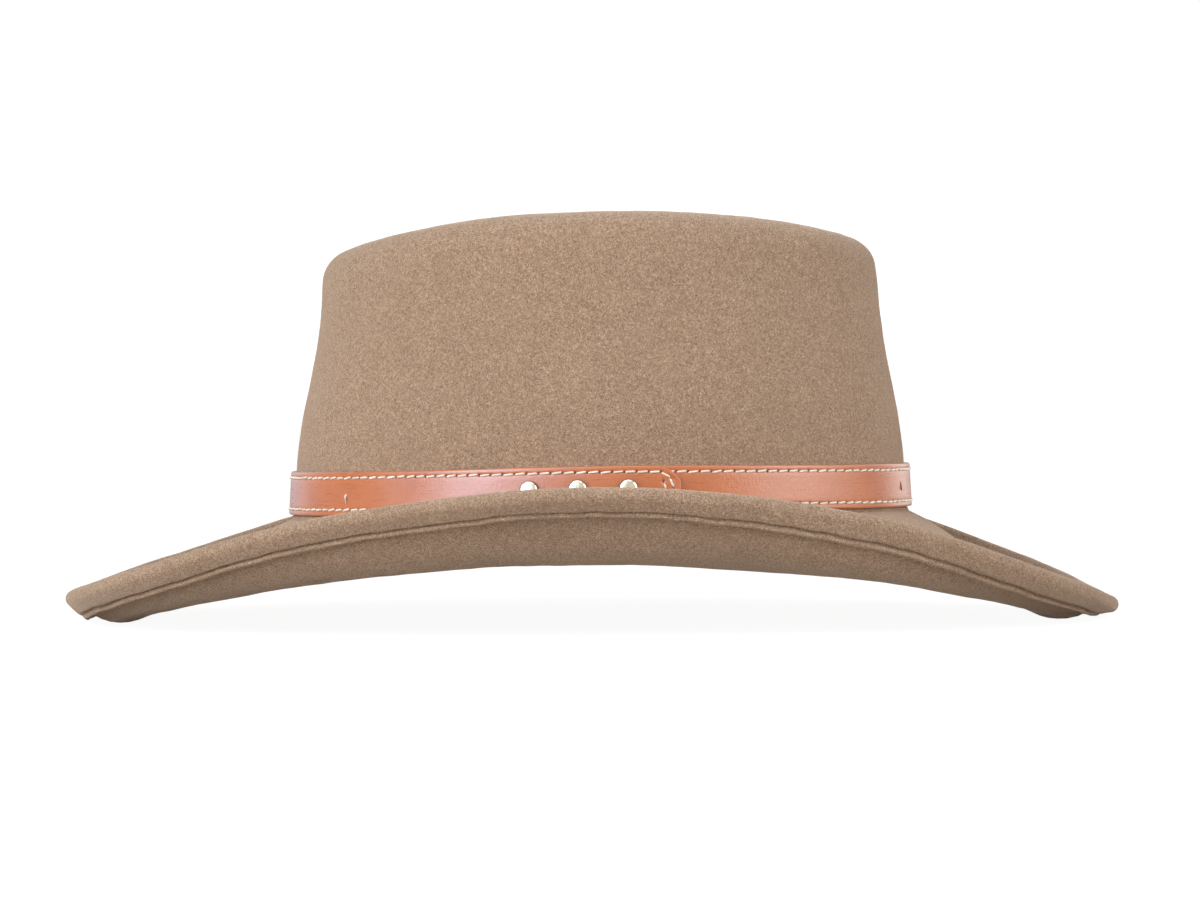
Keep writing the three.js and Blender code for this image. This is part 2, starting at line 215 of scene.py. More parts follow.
# The camera stands level with the hat's left side, as in the photograph.
IMAGE_WIDTH = 1200
IMAGE_HEIGHT = 900
FOCAL_PX = 4500
SENSOR_MM = 36
HORIZON_Y_PX = 398
CAMERA_DISTANCE_MM = 1500
CAMERA_HEIGHT_MM = 73.1
CAMERA_ROLL = 0.0052

# Studio, in metres. Softboxes are squares of soft light: azimuth 0 is where the camera stands and
# goes up towards the back. Use is "matt" for one that shiny surfaces don't mirror, "shine" for one
# that only they show, and otherwise "both".
STAGE_SIZE = 30
TABLE_DROP = 0.001
AIM_HEIGHT = 0.08
WORLD_LIGHT = 0.48
COOL = (0.49, 0.72, 1)
WARM = (1, 0.8, 0.5)
SOFTBOX_COLUMNS = ("name", "azimuth", "elevation", "distance", "size", "radiance", "colour", "use")
SOFTBOXES = [
    ("key_left", -47, 20, 2.2, (1.1, 1.6), 2, WHITE, "matt"),
    ("key_left_wide", -44, 20, 2.25, (1.8, 1.65), 1.6, WHITE, "matt"),
    ("key_left_wider", -37, 20, 2.3, (2.7, 1.7), 1, WHITE, "matt"),
    ("shine_left", -44, 20, 2.2, (1.43, 1.6), 3.2, COOL, "shine"),
    ("shine_left_wide", -40, 20, 2.25, (2.24, 1.65), 1.6, COOL, "shine"),
    ("shine_left_wider", -34, 20, 2.3, (2.97, 1.7), 0.6, COOL, "shine"),
    ("shine_front", 14, 20, 2.35, (1.9, 1.6), 0.22, WARM, "shine"),
    ("fill_right", 63, 20, 2.2, (1.2, 1.6), 1.3, WHITE, "both"),
    ("fill_right_wide", 70, 20, 2.3, (2.2, 1.7), 1.25, WHITE, "both"),
    ("rim_right", 138, 15, 2.3, (1.2, 1.6), 1, WHITE, "both"),
    ("rim_left", -142, 12, 2.3, (1.5, 1.6), 0.6, COOL, "shine"),
    ("overhead", -15, 68, 2.2, (2.6, 1.7), 1.2, WHITE, "shine"),
]


def through(at, values, x):
    """Smooth curve through the rows of a table, as Hermite pieces."""
    at = np.asarray(at, float)
    values = np.asarray(values, float)
    last = len(at) - 1
    i = np.clip(np.searchsorted(at, x) - 1, 0, last - 1)
    below = np.maximum(np.arange(last + 1) - 1, 0)
    above = np.minimum(np.arange(last + 1) + 1, last)
    step = (at[above] - at[below]).reshape((-1,) + (1,) * (values.ndim - 1))
    slope = (values[above] - values[below]) / step
    w = at[i + 1] - at[i]
    f = (x - at[i]) / w
    f2 = f * f
    f3 = f2 * f
    return (
        values[i] * (2 * f3 - 3 * f2 + 1)
        + slope[i] * w * (f3 - 2 * f2 + f)
        + values[i + 1] * (3 * f2 - 2 * f3)
        + slope[i + 1] * w * (f3 - f2)
    )


def around(rows, column, degrees):
    """Value of a table of sections at an angle, the same on both sides of the hat."""
    turn = np.mod(degrees, 360)
    t = np.where(turn > 180, 360 - turn, turn)
    at = [-rows[1]["at"]] + [r["at"] for r in rows] + [360 - rows[-2]["at"]]
    values = [r[column] for r in [rows[1], *rows, rows[-2]]]
    return through(at, values, t)


def right_curl(degrees):
    turn = np.mod(degrees, 360)
    return RIGHT_CURL["more"] * np.exp(-(((turn - RIGHT_CURL["at"]) / RIGHT_CURL["spread"]) ** 2))


def unit(v):
    return v / np.linalg.norm(v, axis=-1, keepdims=True)


def ridge_height(y):
    return RIDGE["top"] - RIDGE["drop"] * np.abs(y / RIDGE["reach"] - RIDGE["forward"]) ** RIDGE["curve"]


def wall_inset(part):
    return through(WALL["part"], WALL["inset"], part)


def smoothstep(x, begin, end):
    f = np.clip((x - begin) / (end - begin), 0, 1)
    return f * f * (3 - 2 * f)


class Waves:
    """Gentle unevenness: sine waves in random directions, between two wavelengths."""

    def __init__(self, rng, count, shortest, longest, size):
        length = rng.uniform(shortest, longest, count)
        self.k = unit(rng.normal(size=(count, 3))) * (2 * np.pi / length)[:, None]
        self.phase = rng.uniform(0, 2 * np.pi, count)
        self.size = size / math.sqrt(count)

    def at(self, points):
        return self.size * np.sin(points @ self.k.T + self.phase).sum(axis=-1)


class Section:
    """The felt's outer face at angles round the oval: places and the directions out of it."""

    def __init__(self, degrees, relief=()):
        t = np.radians(degrees)
        length, width = OVAL["length"], OVAL["width"]
        self.point = np.stack([width * np.sin(t), -length * np.cos(t)], axis=-1)
        self.out = unit(np.stack([np.sin(t) / width, -np.cos(t) / length], axis=-1))
        self.relief = relief
        self.foot = around(BRIM, "foot", degrees)
        self.width = around(BRIM, "width", degrees)
        radius = SHOULDER["radius"]
        self.lean = math.radians(SHOULDER["lean"])
        self.crest_offset = -wall_inset(1) - radius * math.cos(self.lean)
        self.crest = self.point + self.out * self.crest_offset
        self.crest_height = ridge_height(self.crest[:, 1])
        self.wall_top = self.crest_height - radius * (1 - math.sin(self.lean))
        self.slopes = np.radians(np.stack([
            around([{"at": r["at"], "slope": r["slopes"][k]} for r in BRIM], "slope", degrees)
            for k in range(len(BRIM_STATIONS))
        ]))
        self.slopes = self.slopes + np.radians(right_curl(degrees))
        self.add_up_brim()

    def slope_at(self, part):
        return through(BRIM_STATIONS, self.slopes, part)

    def add_up_brim(self):
        """The brim's line from the break to the edge, added up from its slopes."""
        first = self.slope_at(0)
        stride = self.width / LENGTH_STEPS
        offset = [-wall_inset(0) + BREAK_RADIUS * (1 + np.sin(first))]
        height = [self.foot - BREAK_RADIUS * np.cos(first)]
        for i in range(LENGTH_STEPS):
            a = self.slope_at((i + 0.5) / LENGTH_STEPS)
            offset.append(offset[-1] + stride * np.cos(a))
            height.append(height[-1] + stride * np.sin(a))
        self.path = np.stack([offset, height])

    def face(self, at, normal):
        for waves in self.relief:
            at = at + normal * waves.at(at)[:, None]
        return at, normal

    def place(self, offset, z, slope):
        p = self.point + self.out * np.reshape(offset, (-1, 1))
        z = np.broadcast_to(z, p.shape[:1])
        s = np.broadcast_to(np.sin(slope), p.shape[:1])
        c = np.broadcast_to(np.cos(slope), p.shape[:1])
        normal = np.stack([-self.out[:, 0] * s, -self.out[:, 1] * s, c], axis=-1)
        return self.face(np.stack([p[:, 0], p[:, 1], z], axis=-1), normal)

    def top(self, ring):
        """Crown top, from the middle (0) to the ridge (1)."""
        def height(r):
            return ridge_height(self.crest[:, 1] * r) - through(TOP["ring"], TOP["below"], r)

        step = 0.01
        inner = max(ring - step, 0)
        outer = min(ring + step, 1)
        run = np.linalg.norm(self.crest, axis=-1) * (outer - inner)
        slope = np.arctan2(height(outer) - height(inner), run)
        if ring in (0, 1):
            slope = slope * 0
        out = unit(self.crest)
        z = height(ring)
        at = np.stack([self.crest[:, 0] * ring, self.crest[:, 1] * ring, z], axis=-1)
        s = np.sin(slope)
        normal = np.stack([-out[:, 0] * s, -out[:, 1] * s, np.cos(slope)], axis=-1)
        return self.face(at, normal)

    def shoulder(self, part):
        """Shoulder, from the ridge (0) to the top of the wall (1)."""
        a = part * (math.pi / 2 - self.lean)
        radius = SHOULDER["radius"]
        offset = self.crest_offset + radius * math.sin(a)
        return self.place(offset, self.crest_height - radius * (1 - math.cos(a)), -a)

    def wall(self, part):
        """Wall, from the break (0) to the shoulder (1)."""
        step = 0.01
        low = max(part - step, 0)
        high = min(part + step, 1)
        rise = (self.wall_top - self.foot) * (high - low)
        slope = np.arctan2(-rise, wall_inset(high) - wall_inset(low))
        z = self.foot + (self.wall_top - self.foot) * part
        return self.place(-wall_inset(part), z, slope)

    def bend(self, part):
        """Break between wall and brim, from the wall (0) to the brim (1)."""
        a = -math.pi / 2 + (self.slope_at(0) + math.pi / 2) * part
        swell = smoothstep(part, SWELL["from"], SWELL["full"])
        swell *= 1 - smoothstep(part, SWELL["full"], SWELL["to"])
        offset = BREAK_RADIUS * (1 + np.sin(a)) - wall_inset(0) + SWELL["size"] * swell
        return self.place(offset, self.foot - BREAK_RADIUS * np.cos(a), a)

    def brim(self, part):
        """Brim, from the break (0) to the edge (1); part may differ from section to section."""
        part = np.broadcast_to(part, self.foot.shape)
        x = part * LENGTH_STEPS
        i = np.minimum(np.floor(x).astype(int), LENGTH_STEPS - 1)
        f = x - i
        n = np.arange(len(i))
        offset, z = self.path[:, i, n] * (1 - f) + self.path[:, i + 1, n] * f
        mean = float(np.mean(part))
        return self.place(offset, z, self.slope_at(mean))


def below(place, thick):
    """The felt's other face, a thickness below the outer one."""
    at, normal = place
    return at - normal * np.reshape(thick, (-1, 1))


def even(n):
    return [(i + 1) / n for i in range(n)]


def fold_rings(s):
    """The edge turned under, half a circle from the upper face to the folded layer."""
    at, normal = s.brim(1)
    level = unit(at * [1, 1, 0])
    side = np.cross(level, [0, 0, 1])
    ahead = unit(np.cross(normal, side))
    ahead = ahead * np.sign((ahead * level).sum(axis=-1))[:, None]
    centre = at - normal * FELT
    turns = [f * math.pi for f in even(FOLD_STEPS)]
    return [centre + normal * FELT * math.cos(a) + ahead * FELT * math.sin(a) for a in turns]


def underwelt_rings(s, degrees, rng):
    """Under the edge: the folded layer, its stitched groove, its lip, and the step to single felt."""
    stray = np.zeros(len(degrees))
    for turns in GROOVE_WAVES:
        stray += np.sin(np.radians(degrees) * turns + rng.uniform(0, 2 * np.pi)) / 2
    stray *= GROOVE_WANDER
    sideways = np.abs(np.sin(np.radians(degrees)))
    least = GROOVE_FADE["least"]
    deep = least + (1 - least) * smoothstep(sideways, GROOVE_FADE["begin"], GROOVE_FADE["end"])
    rings = []
    for row in UNDERWELT:
        back = row["back"] + stray * row["wander"]
        rings.append(below(s.brim(1 - back / s.width), row["thick"] - row["cut"] * deep))
    return rings


def felt_lines(degrees, relief, rng):
    """All rings of the felt from the middle of the crown top, over the edge, and back up inside."""
    s = Section(degrees, relief)
    top = [s.top(r) for r in 1 - (1 - np.linspace(0, 1, TOP_RINGS)) ** TOP_CROWDING]
    outside = top + [s.shoulder(f) for f in even(SHOULDER_STEPS)]
    outside += [s.wall(1 - f) for f in even(WALL_STEPS)]
    outside += [s.bend(f) for f in even(BREAK_STEPS)]
    outside += [s.brim(f) for f in even(BRIM_STEPS)]
    last = 1 - UNDERWELT[-1]["back"] / s.width.mean() - SINGLE_FELT_GAP
    single = [below(s.brim(last * (1 - f)), FELT) for f in [0] + even(UNDER_STEPS)]
    inside = [s.bend(0.5)]
    inside += [s.wall(f) for f in [0] + even(INNER_WALL_STEPS)]
    inside += [s.shoulder(1 - f) for f in even(INNER_SHOULDER_STEPS)]
    inside += [s.top(1 - f) for f in even(INNER_RINGS)]
    rings = [at for at, _ in outside] + fold_rings(s) + underwelt_rings(s, degrees, rng)
    rings += single + [below(p, FELT) for p in inside]
    rings = np.stack(rings)
    rings[..., 2] = np.maximum(rings[..., 2], RESTING)
    crown = TOP_RINGS + SHOULDER_STEPS + WALL_STEPS
    return rings, crown, len(rings) - len(inside)


def new_mesh(name, vertices, faces, shift, material, replaces=(), smooth=True):
    """A closed mesh from places in millimetres, riding on the hat."""
    mesh = bpy.data.meshes.new(name)
    mesh.from_pydata(((np.asarray(vertices) + shift) * MM).tolist(), [], faces)
    mesh.polygons.foreach_set("use_smooth", [smooth] * len(mesh.polygons))
    mesh.update()
    piece = bpy.data.objects.new(name, mesh)
    bpy.context.scene.collection.objects.link(piece)
    piece.data.materials.append(material)
    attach(piece, BODY)
    if replaces:
        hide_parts(*replaces)
    return piece


def sheet_faces(rings, sections, first=0):
    """Quads between rings that all run once round, ring after ring."""
    i = np.arange(sections)
    k = np.arange(rings - 1)[:, None]
    a = first + k * sections + i
    b = first + k * sections + (i + 1) % sections
    quads = np.stack([a, a + sections, b + sections, b], axis=-1)
    return quads.reshape(-1, 4).tolist()


def felt_body(rings, shift, material):
    """The felt, closed at both ends of its rings by a middle point."""
    count, sections = rings.shape[:2]
    body = rings[1:-1].reshape(-1, 3)
    poles = np.stack([rings[0].mean(axis=0), rings[-1].mean(axis=0)])
    vertices = np.concatenate([body, poles])
    north, south = len(body), len(body) + 1
    faces = sheet_faces(count - 2, sections)
    base = (count - 3) * sections
    for i in range(sections):
        j = (i + 1) % sections
        faces.append([north, i, j])
        faces.append([south, base + j, base + i])
    return new_mesh("felt", vertices, faces, shift, material, ["felt_body"])


def nap(part, rings, shift, material, rng):
    """Loose fibres on a stretch of felt: places by area, leaning over in random directions."""
    a, b = rings[:-1], np.roll(rings, -1, axis=1)[:-1]
    c, d = np.roll(rings, -1, axis=1)[1:], rings[1:]
    cross = np.cross(b - d, c - a)
    area = np.linalg.norm(cross, axis=-1).ravel()
    pick = rng.choice(len(area), NAP_COUNT[part], p=area / area.sum())
    a, b, c, d = (q.reshape(-1, 3)[pick] for q in (a, b, c, d))
    out = unit(cross.reshape(-1, 3)[pick])
    u, v = rng.uniform(0, 1, (2, len(pick), 1))
    foot = a * (1 - u) * (1 - v) + b * u * (1 - v) + c * u * v + d * (1 - u) * v
    ahead = unit(np.cross(out, rng.normal(size=out.shape)))
    rise = np.radians(rng.uniform(NAP_RISE["least"], NAP_RISE["most"], (len(pick), 1)))
    length = rng.uniform(NAP["shortest"], NAP["longest"], (len(pick), 1))
    tip = foot + (ahead * np.cos(rise) + out * np.sin(rise)) * length
    clear = np.minimum(foot[:, 2], tip[:, 2]) > RESTING + NAP["floor"]
    foot, tip, out, ahead = (q[clear] for q in (foot, tip, out, ahead))
    side = np.cross(out, ahead)
    root = foot - out * NAP["sunk"]
    corners = [root + side * NAP["radius"], root - side * NAP["radius"], foot + out * NAP["radius"]]
    vertices = np.stack([*corners, tip], axis=1)
    first = np.arange(len(foot))[:, None, None] * 4
    faces = first + np.array([[0, 1, 2], [1, 0, 3], [2, 1, 3], [0, 2, 3]])
    faces = faces.reshape(-1, 3).tolist()
    return new_mesh("nap_" + part, vertices.reshape(-1, 3), faces, shift, material, smooth=False)


# Strap

class StrapLine:
    """The strap's middle line, measured along its length from the inner end to the tip."""

    def __init__(self):
        t = np.linspace(STRAP_ENDS["inner"], 360 + STRAP_ENDS["outer"], STRAP_LINE_STEPS)
        at, _ = on_strap(t, 0, strap_near(t))
        run = np.linalg.norm(np.diff(at, axis=0), axis=1)
        self.t = t
        self.length = np.concatenate([[0], np.cumsum(run)])
        self.total = self.length[-1]

    def angle(self, s):
        return np.interp(s, self.length, self.t)

    def reach(self, degrees):
        return np.interp(degrees, self.t, self.length)


def strap_near(degrees):
    """How far the strap's inner face stands off the crown, more where its end rides over."""
    begin = 360 + STRAP_ENDS["rise"]
    end = 360 + STRAP_ENDS["risen"]
    lift = smoothstep(degrees, begin, end) * (STRAP["thick"] + STRAP["gap"])
    return STRAP["gap"] + lift


def stand_out(s, z):
    """How far the felt stands out from the foot oval at a height near the foot of the wall."""
    part = np.clip((z - s.foot) / (s.wall_top - s.foot), 0, 1)
    drop = np.clip(s.foot - z, 0, BREAK_RADIUS)
    return BREAK_RADIUS - np.sqrt(BREAK_RADIUS ** 2 - drop ** 2) - wall_inset(part)


def on_strap(degrees, above, push):
    """Place by its height above the strap's middle line, pushed out from the felt, and the way out.

    The strap's section is straight, from the felt at its lower edge to the felt at its upper
    edge, but for the flare.
    """
    s = Section(degrees)
    low = around(STRAP_FOOT, "height", degrees)
    a = stand_out(s, low)
    b = stand_out(s, low + STRAP["width"])
    offset = a + (b - a) * (above / STRAP["width"] + 0.5) + push - FLARE * above / STRAP["width"]
    p = s.point + s.out * np.reshape(offset, (-1, 1))
    z = low + STRAP["width"] / 2 + above
    rise = np.reshape((a - b + FLARE) / STRAP["width"], (-1, 1))
    out = unit(np.concatenate([s.out, rise], axis=-1))
    return np.concatenate([p, np.reshape(z, (-1, 1))], axis=-1), out


def side_angle(along):
    """Angle round the oval of a place on the left side, by its distance along the hat."""
    return math.degrees(math.acos(-along / OVAL["length"]))


def half_width(from_tip):
    return np.interp(from_tip, TIP["from"], TIP["half"])


def edge_distance(line, s, v):
    """How far in from the strap's outline a place is."""
    from_tip = line.total - s
    return np.minimum(np.minimum(half_width(from_tip) - np.abs(v), from_tip), s)


def face_height(line, s, v, holes):
    """Height of the leather's face over its back: round edge, stitch lines and holes."""
    d = edge_distance(line, s, v)
    r = EDGE_ROUND
    inside = np.clip(r - d, 0, r)
    height = STRAP["thick"] - r + np.sqrt(r * r - inside * inside)
    height = height - EMBOSS["depth"] * np.exp(-(((d - STITCH["inset"]) / EMBOSS["half"]) ** 2))
    depth = np.zeros_like(height)
    for hs, hv, half in holes:
        near = np.abs(s - hs) < HOLE["reach"] * half
        q = ((s - hs) ** 2 + (v - hv) ** 2) / half ** 2
        depth = np.where(near, np.maximum(depth, np.exp(-q)), depth)
    return height - HOLE["depth"] * depth, depth


def row_stitches(line):
    """Start and end of every stitch on the strap, as (along, across), and the hole at each end."""
    pitch = STITCH["pitch"]
    row = STRAP["width"] / 2 - STITCH["inset"]
    end = line.total - TIP_ROW[0][0]
    count = int((end - STITCH_ENDS["short"]) / pitch)
    stitches = []
    for k in range(count):
        for v in (row, -row):
            right = end - k * pitch
            stitches.append(((right - pitch, v), (right, v)))
    corners = [(line.total - d, v) for d, v in TIP_ROW]
    stitches += list(zip(corners[:-1], corners[1:]))
    return stitches


def tack_holes(line):
    """Where the strap is tacked down, as (along, across, half width)."""
    holes = []
    for tack in TACKS:
        t = side_angle(tack["along"])
        turn = 0 if t > STRAP_ENDS["outer"] else 360
        holes.append((float(line.reach(t + turn)), tack["above"], tack["half"]))
    return holes


def strap_stations(line):
    """Places along the strap where its section is drawn, closer together at the stitch holes."""
    pitch = STITCH["pitch"]
    end = line.total - TIP_ROW[0][0]
    offsets = np.array(STITCH_STATIONS)
    stations = [end - k * pitch + offsets for k in range(int(end / pitch) + 1)]
    spread = np.linspace(-TACK_STATIONS["half"], TACK_STATIONS["half"], TACK_STATIONS["count"])
    stations += [s + spread for s, _, _ in tack_holes(line)]
    stations.append(np.linspace(0, INNER_STATIONS["length"], INNER_STATIONS["count"]))
    fine = np.arange(0, TIP_STATIONS["fine_to"], TIP_STATIONS["fine"])
    coarse = np.arange(TIP_STATIONS["fine_to"], TIP_STATIONS["to"], TIP_STATIONS["step"])
    stations.append(line.total - np.concatenate([fine, coarse]))
    s = np.unique(np.round(np.concatenate(stations), 3))
    s = s[(s >= 0) & (s <= line.total)]
    return s[np.concatenate([[True], np.diff(s) > CLOSEST_STATIONS])]


def strap(line, shift, material):
    """The leather strap with rounded edges, pressed stitch lines and pricked holes."""
    s = strap_stations(line)
    t = line.angle(s)
    half = half_width(line.total - s)
    steps = STRAP_COLUMNS["edge"] + STRAP_COLUMNS["stitch_row"] + STRAP_COLUMNS["tacks"]
    columns = [("edge", d, -1) for d in steps] + [("middle", 0, 0)]
    columns += [("edge", d, 1) for d in steps[::-1]]
    holes = [(*end, HOLE["half"]) for _, end in row_stitches(line)] + tack_holes(line)
    rings = []
    hole_shade = []
    across = []
    near = strap_near(t)
    for kind, d, side in columns:
        v = side * np.maximum(half - d * np.minimum(half / (STRAP["width"] / 2), 1), 0)
        if kind == "middle":
            v = np.zeros_like(s)
        height, depth = face_height(line, s, v, holes)
        at, _ = on_strap(t, v, near + height)
        rings.append(at)
        hole_shade.append(depth)
        across.append(v)
    for part in STRAP_BACK_COLUMNS:
        at, _ = on_strap(t, half * part, near)
        rings.append(at)
        hole_shade.append(np.zeros_like(s))
        across.append(half * part)
    rings = np.stack(rings, axis=1)
    hole_shade = np.stack(hole_shade, axis=1)
    across = np.stack(across, axis=1)
    n, m = rings.shape[:2]
    faces = sheet_faces(n, m)
    faces.append(list(range(m)))
    faces.append([(n - 1) * m + k for k in range(m)][::-1])
    piece = new_mesh("strap", rings.reshape(-1, 3), faces, shift, material, ["hat_band"])
    # The dent depth of each hole is kept per vertex for the painted shade in the holes.
    layer = piece.data.attributes.new("hole", "FLOAT", "POINT")
    layer.data.foreach_set("value", hole_shade.ravel())
    flat = np.stack([np.broadcast_to(s[:, None], across.shape), across], axis=-1).reshape(-1, 2)
    lay_flat(piece.data, flat * MM)
    return piece


def lay_flat(mesh, places):
    """A map of the leather laid flat, a place for each vertex."""
    corners = np.empty(len(mesh.loops), int)
    mesh.loops.foreach_get("vertex_index", corners)
    layer = mesh.uv_layers.new(name="laid_flat")
    layer.data.foreach_set("uv", places[corners].ravel())


def strap_place(line, s, v, raise_by):
    """A place over the strap's face."""
    s = np.asarray(s, float)
    v = np.asarray(v, float)
    t = line.angle(s)
    height, _ = face_height(line, s, v, [])
    return on_strap(t, v, strap_near(t) + height + raise_by)


def tube(points, out, radius, sides):
    """A closed tube along points, whose radius may change; out fixes its sides."""
    ahead = unit(np.gradient(points, axis=0))
    up = unit(out - ahead * (out * ahead).sum(axis=-1, keepdims=True))
    side = np.cross(ahead, up)
    a = np.linspace(0, 2 * np.pi, sides, endpoint=False)
    radius = np.broadcast_to(radius, len(points))[:, None, None]
    circle = up[:, None] * np.cos(a)[:, None] + side[:, None] * np.sin(a)[:, None]
    rings = points[:, None] + circle * radius
    faces = sheet_faces(len(points), sides)
    faces.append(list(range(sides)))
    faces.append([(len(points) - 1) * sides + k for k in range(sides)][::-1])
    return rings.reshape(-1, 3), faces


def join(parts):
    """Several (vertices, faces) as one."""
    vertices = []
    faces = []
    count = 0
    for v, f in parts:
        vertices.append(v)
        faces += [[count + i for i in face] for face in f]
        count += len(v)
    return np.concatenate(vertices), faces


def stitching(line, shift, material, rng):
    """Cream thread: every stitch rises from one hole and dips into the next."""
    parts = []
    f = np.linspace(0, 1, STITCH_POINTS)
    body = np.sqrt(np.clip(1 - (2 * f - 1) ** 8, STITCH_ENDS["thin"], 1))
    for (s0, v0), (s1, v1) in row_stitches(line):
        span = math.hypot(s1 - s0, v1 - v0)
        trim = (span - STITCH["length"] * span / STITCH["pitch"]) / 2 / span
        along = trim + (1 - 2 * trim) * f
        slant = STITCH["slant"] * (along - 0.5) * (1 + STITCH_SPREAD["slant"] * rng.normal())
        s = s0 + (s1 - s0) * along + slant * abs(v1 - v0) / span
        v = v0 + (v1 - v0) * along + slant * abs(s1 - s0) / span
        v = v + STITCH_SPREAD["across"] * rng.normal()
        arch = STITCH["rise"] * (1 - (2 * f - 1) ** 4) - STITCH_ENDS["sunk"]
        at, out = strap_place(line, s, v, arch)
        radius = STITCH["radius"] * body * (1 + STITCH_SPREAD["radius"] * rng.normal())
        parts.append(tube(at, out, radius, THREAD_SIDES))
    vertices, faces = join(parts)
    return new_mesh("strap_stitching", vertices, faces, shift, material)


def tack_threads(line, colour, shift, material):
    """The bits of thread of one colour left at the tacks, from the face down into its hole."""
    parts = []
    for (s, v, _), tack in zip(tack_holes(line), TACKS):
        if tack["thread"] != colour:
            continue
        ends = np.array(tack["ends"])
        f = np.linspace(0, 1, TACK_POINTS)
        along = s + through([0, 0.5, 1], ends[:, 0], f)
        above = v + through([0, 0.5, 1], ends[:, 1], f)
        arch = TACK_THREAD["rise"] * (1 - (2 * f - 1) ** 2) - TACK_THREAD["sunk"]
        at, out = strap_place(line, along, above, arch)
        radius = TACK_THREAD["radius"][colour] * np.sqrt(TACK_THREAD["blunt"] - (2 * f - 1) ** 4)
        parts.append(tube(at, out, radius, THREAD_SIDES))
    vertices, faces = join(parts)
    return new_mesh("tack_thread_" + colour, vertices, faces, shift, material)


def rivet(name, along, shift, material):
    """A domed rivet, turned about its own axis and set square on the strap."""
    t = side_angle(along)
    stack = 2 * (STRAP["gap"] + STRAP["thick"]) + RIVET_GAP
    seat, out = on_strap(np.array([t]), 0, stack)
    axis = out[0]
    side = unit(np.cross([0, 0, 1], axis))
    up = np.cross(axis, side)
    a = np.linspace(0, 2 * np.pi, RIVET_SIDES, endpoint=False)
    ring = side * np.cos(a)[:, None] + up * np.sin(a)[:, None]
    radius = np.array(RIVET_PROFILE["radius"])[1:-1, None, None]
    height = np.array(RIVET_PROFILE["height"])[1:-1, None, None]
    rings = seat[0] + ring * radius + axis * height
    n = len(rings)
    vertices = np.concatenate([rings.reshape(-1, 3), seat, seat + axis * RIVET_PROFILE["height"][-1]])
    faces = [f[::-1] for f in sheet_faces(n, RIVET_SIDES)]
    back = n * RIVET_SIDES
    for i in range(RIVET_SIDES):
        j = (i + 1) % RIVET_SIDES
        faces.append([back, j, i])
        faces.append([back + 1, (n - 1) * RIVET_SIDES + i, (n - 1) * RIVET_SIDES + j])
    piece = new_mesh(name + "_cap", vertices, faces, shift, material, [name])
    # Painted shade: the rivet's side up to the fade heights is marked to be blended dark, standing in
    # for the shade and dark reflection at its foot.
    foot_shade = 1 - smoothstep(np.repeat(height.ravel(), RIVET_SIDES), FOOT_SHADE["from"], FOOT_SHADE["to"])
    layer = piece.data.attributes.new("foot_shade", "FLOAT", "POINT")
    layer.data.foreach_set("value", np.concatenate([foot_shade, [1, 0]]))
    return piece


# Materials

def material(name):
    m = bpy.data.materials.new(name)
    m.use_nodes = True
    shader = m.node_tree.nodes["Principled BSDF"]
    return m, m.node_tree, shader


def node(tree, kind, values=None, **settings):
    n = tree.nodes.new(kind)
    for key, value in settings.items():
        setattr(n, key, value)
    for key, value in (values or {}).items():
        n.inputs[key].default_value = value
    return n


def noise(tree, vector, scale, detail=2, rough=0.5, distort=0):
    n = node(tree, "ShaderNodeTexNoise", {
        "Scale": scale, "Detail": detail, "Roughness": rough, "Distortion": distort,
    })
    tree.links.new(vector, n.inputs["Vector"])
    return n.outputs["Fac"]


def maths(tree, operation, a, b):
    n = node(tree, "ShaderNodeMath", operation=operation)
    for socket, value in zip(n.inputs, (a, b)):
        if isinstance(value, (int, float)):
            socket.default_value = value
        else:
            tree.links.new(value, socket)
    return n.outputs[0]


def ramp(tree, value, stops):
    """Colours by value; stops are (place, colour)."""
    n = node(tree, "ShaderNodeValToRGB")
    elements = n.color_ramp.elements
    while len(elements) < len(stops):
        elements.new(0.5)
    for element, (place, colour) in zip(elements, stops):
        element.position = place
        element.color = (*colour, 1)
    tree.links.new(value, n.inputs["Fac"])
    return n.outputs["Color"]


def blend(tree, amount, a, b, mode="MIX"):
    n = node(tree, "ShaderNodeMix", data_type="RGBA", blend_type=mode)
    for socket, value in ((n.inputs["Factor"], amount), (n.inputs["A"], a), (n.inputs["B"], b)):
        if isinstance(value, bpy.types.NodeSocket):
            tree.links.new(value, socket)
        elif isinstance(value, tuple):
            socket.default_value = (*value, 1)
        else:
            socket.default_value = value
    return n.outputs["Result"]


def bump(tree, height, distance, strength, normal=None):
    n = node(tree, "ShaderNodeBump", {"Distance": distance, "Strength": strength})
    tree.links.new(height, n.inputs["Height"])
    if normal is not None:
        tree.links.new(normal, n.inputs["Normal"])
    return n.outputs["Normal"]


def object_place(tree):
    return node(tree, "ShaderNodeTexCoord").outputs["Object"]


def curls(tree, place, scale, sharp):
    """Thin curly lines, 1 on a line and 0 between them."""
    value = maths(tree, "SUBTRACT", noise(tree, place, scale, detail=1, distort=1.1), 0.5)
    away = maths(tree, "MULTIPLY", maths(tree, "ABSOLUTE", value, 0), sharp)
    return maths(tree, "MAXIMUM", maths(tree, "SUBTRACT", 1, away), 0)


